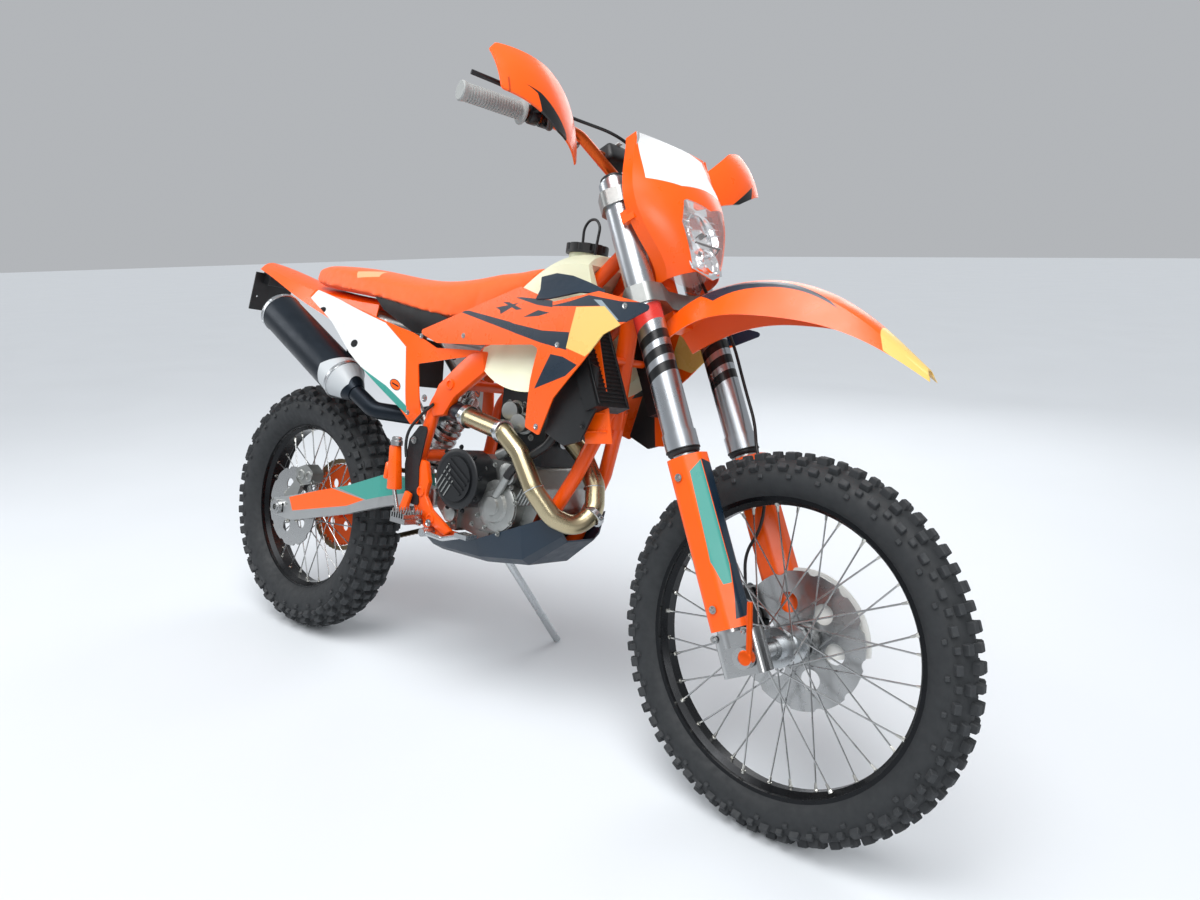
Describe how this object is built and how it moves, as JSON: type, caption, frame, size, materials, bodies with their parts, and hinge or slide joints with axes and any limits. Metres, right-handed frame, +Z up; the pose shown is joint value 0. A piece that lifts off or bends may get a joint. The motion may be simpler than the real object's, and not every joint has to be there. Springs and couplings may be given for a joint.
{
  "type": "enduro dirt bike",
  "caption": "Off-road enduro motorcycle parked on its side stand, with knobby spoked wheels, long-travel fork, plastic bodywork and a steered front end.",
  "frame": {"origin": "bottom centre of the overall box, on the ground the bike stands on, between its wheels and its stand", "axes": "+X forward along the bike, +Y to its left, the side it leans to on its stand, +Z up"},
  "size_m": [2.1904, 0.8314, 1.401],
  "materials": {
    "frame_orange": "satin",
    "alloy": "satin",
    "orange_plastic": "semi-gloss",
    "white_plastic": "semi-gloss",
    "black_plastic": "matte",
    "tank_plastic": "satin",
    "seat_cover": "grained",
    "tyre_rubber": "matte",
    "grip_rubber": "matte",
    "rim_black": "anodised",
    "spoke_steel": "satin",
    "steel": "brushed",
    "titanium": "satin",
    "black_metal": "matte",
    "lamp_clear": "clear",
    "bar_gold": "anodised",
    "sprocket_orange": "anodised",
    "chain_steel": "oiled",
    "engine_black": "cast",
    "cast_alloy": "cast",
    "hose_rubber": "satin"
  },
  "bodies": {
    "chassis": {"airbox": "black_plastic", "brake_pedal": "alloy", "cam_cover": "engine_black", "clutch_cover": "engine_black", "crankcase": "cast_alloy", "cylinder_and_head": "engine_black", "drive_chain": "chain_steel", "exhaust_header": "titanium", "footpegs": "steel", "frame_guards": "black_plastic", "fuel_cap": "black_plastic", "fuel_tank": "tank_plastic", "ignition_cover": "engine_black", "main_frame": "frame_orange", "radiator_shroud_left": "orange_plastic", "radiator_shroud_right": "orange_plastic", "radiators": "alloy", "rear_axle": "steel", "rear_brake_caliper": "alloy", "rear_fender": "orange_plastic", "rear_subframe": "alloy", "seat": "seat_cover", "shift_lever": "alloy", "shock_absorber": "steel", "side_panel_left": "white_plastic", "side_panel_right": "white_plastic", "silencer": "black_metal", "skid_plate": "black_plastic", "swing_arm": "alloy", "tail_lamp_unit": "black_plastic", "tank_breather_hose": "hose_rubber"},
    "front_fork": {"bar_clamps": "alloy", "fork_guards": "orange_plastic", "fork_inner_legs": "steel", "fork_outer_tubes": "alloy", "front_axle": "steel", "front_brake_caliper": "alloy", "front_brake_hose": "hose_rubber", "front_disc_guard": "white_plastic", "front_fender": "orange_plastic", "grips": "grip_rubber", "hand_guard_mounts": "alloy", "hand_guards": "orange_plastic", "hand_levers": "alloy", "handlebar": "bar_gold", "headlamp_lens": "lamp_clear", "headlamp_mask": "orange_plastic", "triple_clamps": "alloy"},
    "front_wheel": {"front_brake_disc": "steel", "front_hub": "alloy", "front_rim": "rim_black", "front_spokes": "spoke_steel", "front_tyre": "tyre_rubber"},
    "rear_wheel": {"rear_brake_disc": "steel", "rear_hub": "alloy", "rear_rim": "rim_black", "rear_spokes": "spoke_steel", "rear_sprocket": "sprocket_orange", "rear_tyre": "tyre_rubber"},
    "side_stand": {"side_stand": "alloy"}
  },
  "joints": [
    {"name": "steering", "type": "hinge", "parent": "chassis", "child": "front_fork", "pos_m": [0.3337, -0.04823, 1.04141], "axis": [-0.4395, 0.1868, 0.8786], "range_deg": [-42, 46]},
    {"name": "front_wheel_spin", "type": "hinge", "parent": "front_fork", "child": "front_wheel", "pos_m": [0.74352, -0.19779, 0.34719], "axis": [0.0313, 0.9807, -0.1928], "continuous": true},
    {"name": "rear_wheel_spin", "type": "hinge", "parent": "chassis", "child": "rear_wheel", "pos_m": [-0.74346, -0.19782, 0.33766], "axis": [0, 0.9781, -0.2079], "continuous": true},
    {"name": "stand_fold", "type": "hinge", "parent": "chassis", "child": "side_stand", "pos_m": [-0.17744, -0.06548, 0.35426], "axis": [0.1169, 0.891, 0.4387], "range_deg": [0, 101.98]}
  ]
}
